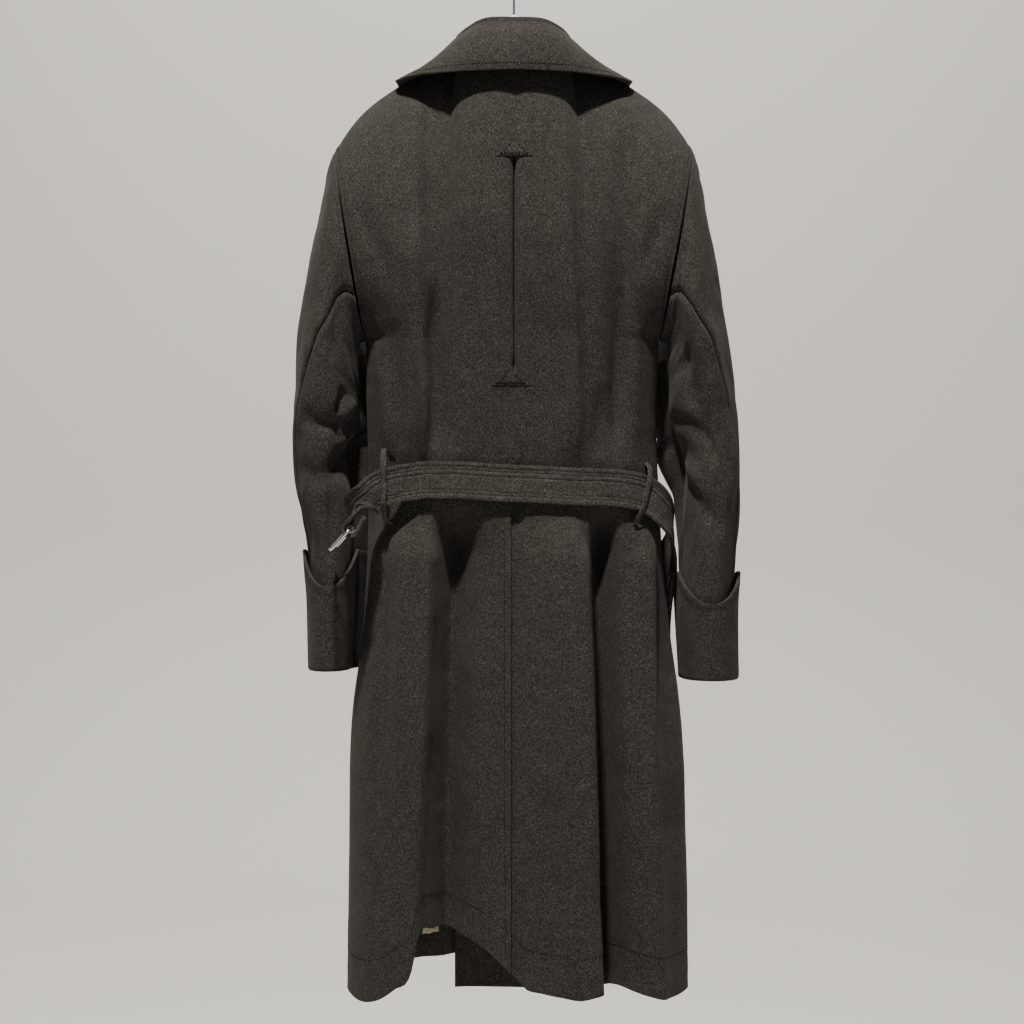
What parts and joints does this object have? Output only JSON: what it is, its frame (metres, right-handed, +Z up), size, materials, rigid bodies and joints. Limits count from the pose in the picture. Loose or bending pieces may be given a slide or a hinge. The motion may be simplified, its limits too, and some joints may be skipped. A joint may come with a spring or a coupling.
{
  "type": "military greatcoat on a hanger",
  "caption": "Long double-breasted wool greatcoat hanging on a plain hanger, with a turned-over collar, centre-pleated back, hem vent, turned-back cuffs and a loose buckled belt.",
  "frame": {"origin": "inside top of the hanger's hook, where a rail carries it", "axes": "+Z up along the coat, +Y from the coat's back to its front, +X towards the wearer's right sleeve"},
  "size_m": [0.5725, 0.2459, 1.348],
  "materials": {
    "wool": "charcoal-brown heather melton with a soft milled nap",
    "nickel": "nickel-plated wire, slightly dulled",
    "horn": "dark horn-effect button",
    "tape": "pale woven cotton tape",
    "white_plastic": "white moulded plastic",
    "steel": "bright plated wire"
  },
  "bodies": {
    "coat": {"back_left": "wool", "back_right": "wool", "front_left": "wool", "front_right": "wool", "sleeve_top_left": "wool", "sleeve_under_left": "wool", "sleeve_top_right": "wool", "sleeve_under_right": "wool", "cuff_left": "wool", "cuff_right": "wool", "collar_stand": "wool", "collar_fall": "wool", "pleat_tack_upper": "wool", "pleat_tack_lower": "wool", "belt": "wool", "belt_loop_left": "wool", "belt_loop_right": "wool", "button_edge_1": "horn", "button_edge_2": "horn", "button_edge_3": "horn", "button_inner_1": "horn", "button_inner_2": "horn", "button_inner_3": "horn", "hem_tape": "tape", "hanger_body": "white_plastic", "hanger_hook": "steel"},
    "buckle": {"buckle_frame": "nickel"},
    "prong": {"buckle_prong": "nickel"}
  },
  "joints": [
    {"name": "buckle_swing", "type": "hinge", "parent": "coat", "child": "buckle", "pos_m": [-0.202, -0.101, -0.74], "axis": [0, 1, 0], "range_deg": [0, 65]},
    {"name": "prong_lift", "type": "hinge", "parent": "buckle", "child": "prong", "pos_m": [-0.202, -0.101, -0.74], "axis": [0, 1, 0], "range_deg": [0, 65]}
  ]
}
